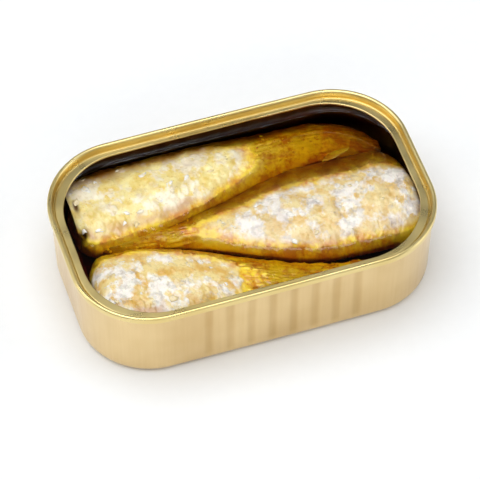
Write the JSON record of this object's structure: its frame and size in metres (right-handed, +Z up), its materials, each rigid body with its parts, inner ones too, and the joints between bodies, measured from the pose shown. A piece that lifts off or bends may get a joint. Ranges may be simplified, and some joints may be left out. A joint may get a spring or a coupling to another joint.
{
  "type": "sardine tin",
  "caption": "Opened rounded rectangular tin of gold lacquered aluminium, with a seamed ring round its mouth and headless sardines lying in golden oil.",
  "frame": {"origin": "middle of the underside of the tin", "axes": "+X along the length of the tin, +Y across it to the back, +Z up"},
  "size_m": [0.104, 0.0634, 0.026],
  "materials": {
    "tin_body": "clear gold lacquer over drawn aluminium sheet, satin",
    "lid_ring": "clear gold lacquer over rolled aluminium sheet, glossy",
    "oil": "clear golden olive oil, wet",
    "sardine": "silver and cream skin flaking off amber flesh, wet with oil"
  },
  "bodies": {
    "root": {"can_body": "tin_body", "lid_ring": "lid_ring", "oil": "oil", "sardine_back": "sardine", "sardine_middle": "sardine", "sardine_front": "sardine"}
  },
  "joints": []
}
